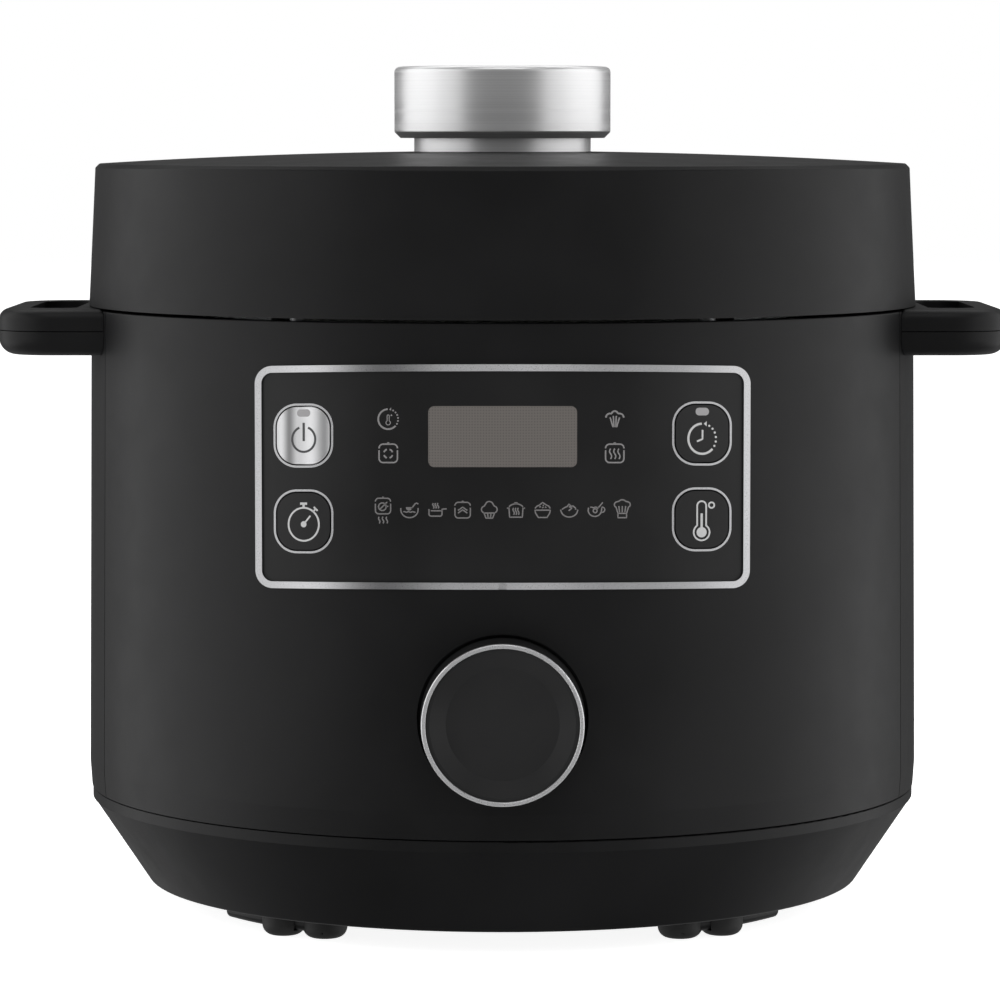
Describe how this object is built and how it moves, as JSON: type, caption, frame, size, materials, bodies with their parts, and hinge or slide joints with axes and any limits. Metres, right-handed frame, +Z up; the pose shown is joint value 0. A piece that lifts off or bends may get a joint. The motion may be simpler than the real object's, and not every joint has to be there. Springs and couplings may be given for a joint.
{
  "type": "electric pressure cooker",
  "caption": "Round electric pressure cooker with a locking lid and metal knob, front control panel, dial, side handles and a lift-out pot.",
  "frame": {"origin": "on the cooker's vertical axis, at the surface it stands on", "axes": "+Z up, front towards -Y, +X to the right seen from the front"},
  "size_m": [0.363, 0.332, 0.3048],
  "materials": {
    "housing_plastic": "satin moulded black",
    "base_plastic": "fine-grained black",
    "panel_plastic": "smooth black",
    "button_plastic": "smooth black",
    "bright_trim": "satin chrome",
    "silver_cap": "satin silver",
    "knob_metal": "fine-brushed",
    "smoked_window": "smoked",
    "sheet_steel": "brushed",
    "zinc_steel": "zinc-plated",
    "cast_aluminium": "cast and turned",
    "pot_coating": "dark non-stick",
    "silicone": "translucent grey silicone",
    "foot_rubber": "matte",
    "circuit_board": "soldermask",
    "grey_plastic": "moulded",
    "clear_cup": "smoked translucent",
    "brass_pins": "plated",
    "spring_steel": "drawn wire"
  },
  "bodies": {
    "root": {"base_screws": "zinc_steel", "base_shell": "base_plastic", "button_rings": "bright_trim", "control_board": "circuit_board", "dial_socket": "base_plastic", "display_module": "grey_plastic", "display_window": "smoked_window", "encoder": "grey_plastic", "front_housing": "housing_plastic", "handle_screws": "zinc_steel", "heating_element": "zinc_steel", "heating_plate": "cast_aluminium", "inlet_pins": "brass_pins", "inlet_plate": "base_plastic", "inner_shell": "sheet_steel", "left_handle_base": "base_plastic", "left_handle_cover": "base_plastic", "lock_ring": "sheet_steel", "mains_inlet": "base_plastic", "panel_carrier": "grey_plastic", "panel_fascia": "panel_plastic", "panel_frame": "bright_trim", "power_board": "circuit_board", "rear_housing": "housing_plastic", "right_handle_base": "base_plastic", "right_handle_cover": "base_plastic", "rubber_feet": "foot_rubber", "top_deck": "base_plastic", "trim_band": "housing_plastic"},
    "pot": {"cooking_pot": "pot_coating"},
    "lid": {"lid_cover": "housing_plastic", "lid_base": "base_plastic", "pressure_plate": "sheet_steel", "sealing_ring": "silicone", "lid_screws": "zinc_steel", "steam_passage": "grey_plastic", "steam_vent": "base_plastic", "knob_bushing": "grey_plastic"},
    "knob": {"lock_knob": "knob_metal", "knob_cap": "knob_metal", "knob_neck": "knob_metal", "knob_core": "grey_plastic", "knob_shaft": "zinc_steel", "cam_disc": "zinc_steel"},
    "jaw_rear": {"rear_jaw": "zinc_steel"},
    "jaw_left": {"left_jaw": "zinc_steel"},
    "jaw_right": {"right_jaw": "zinc_steel"},
    "valve": {"pressure_valve": "zinc_steel"},
    "float": {"float_valve": "sheet_steel"},
    "power": {"power_button": "silver_cap"},
    "timer": {"timer_button": "button_plastic"},
    "delay": {"delay_button": "button_plastic"},
    "temperature": {"temperature_button": "button_plastic"},
    "dial": {"dial_knob": "base_plastic", "dial_ring": "bright_trim", "dial_face": "base_plastic", "dial_shaft": "zinc_steel"},
    "cup": {"condensate_cup": "clear_cup"},
    "sensor": {"temperature_sensor": "cast_aluminium", "sensor_spring": "spring_steel"}
  },
  "joints": [
    {"name": "pot_lift", "type": "slide", "parent": "root", "child": "pot", "axis": [0, 0, 1], "range_m": [0, 0.2]},
    {"name": "lid_lift", "type": "slide", "parent": "pot", "child": "lid", "axis": [0, 0, 1], "range_m": [0, 0.15]},
    {"name": "lock_turn", "type": "hinge", "parent": "lid", "child": "knob", "pos_m": [0, 0, 0.28], "axis": [0, 0, -1], "range_deg": [0, 40]},
    {"name": "rear_jaw_slide", "type": "slide", "parent": "lid", "child": "jaw_rear", "axis": [0, 1, 0], "range_m": [0, 0.00601]},
    {"name": "left_jaw_slide", "type": "slide", "parent": "lid", "child": "jaw_left", "axis": [-0.866, -0.5, 0], "range_m": [0, 0.00601]},
    {"name": "right_jaw_slide", "type": "slide", "parent": "lid", "child": "jaw_right", "axis": [0.866, -0.5, 0], "range_m": [0, 0.00601]},
    {"name": "pressure_valve_lift", "type": "slide", "parent": "lid", "child": "valve", "axis": [0, 0, 1], "range_m": [0, 0.003]},
    {"name": "float_valve_rise", "type": "slide", "parent": "lid", "child": "float", "axis": [0, 0, 1], "range_m": [0, 0.0035]},
    {"name": "power_press", "type": "slide", "parent": "root", "child": "power", "axis": [0, 1, 0], "range_m": [0, 0.001], "stiffness_N_per_m": 300},
    {"name": "timer_press", "type": "slide", "parent": "root", "child": "timer", "axis": [0, 1, 0], "range_m": [0, 0.001], "stiffness_N_per_m": 300},
    {"name": "delay_press", "type": "slide", "parent": "root", "child": "delay", "axis": [0, 1, 0], "range_m": [0, 0.001], "stiffness_N_per_m": 300},
    {"name": "temperature_press", "type": "slide", "parent": "root", "child": "temperature", "axis": [0, 1, 0], "range_m": [0, 0.001], "stiffness_N_per_m": 300},
    {"name": "dial_turn", "type": "hinge", "parent": "root", "child": "dial", "pos_m": [0, -0.15, 0.0842], "axis": [0, -1, 0], "continuous": true},
    {"name": "cup_pull", "type": "slide", "parent": "root", "child": "cup", "axis": [0, 1, 0], "range_m": [0, 0.04]},
    {"name": "sensor_press", "type": "slide", "parent": "root", "child": "sensor", "axis": [0, 0, 1], "range_m": [-0.002, 0], "stiffness_N_per_m": 500, "springref_m": 0.002, "deforming": ["sensor_spring"]}
  ],
  "couplings": [
    {"joint": "rear_jaw_slide", "follows": "lock_turn", "m_per_rad": 0.0085944},
    {"joint": "left_jaw_slide", "follows": "lock_turn", "m_per_rad": 0.0085944},
    {"joint": "right_jaw_slide", "follows": "lock_turn", "m_per_rad": 0.0085944}
  ]
}
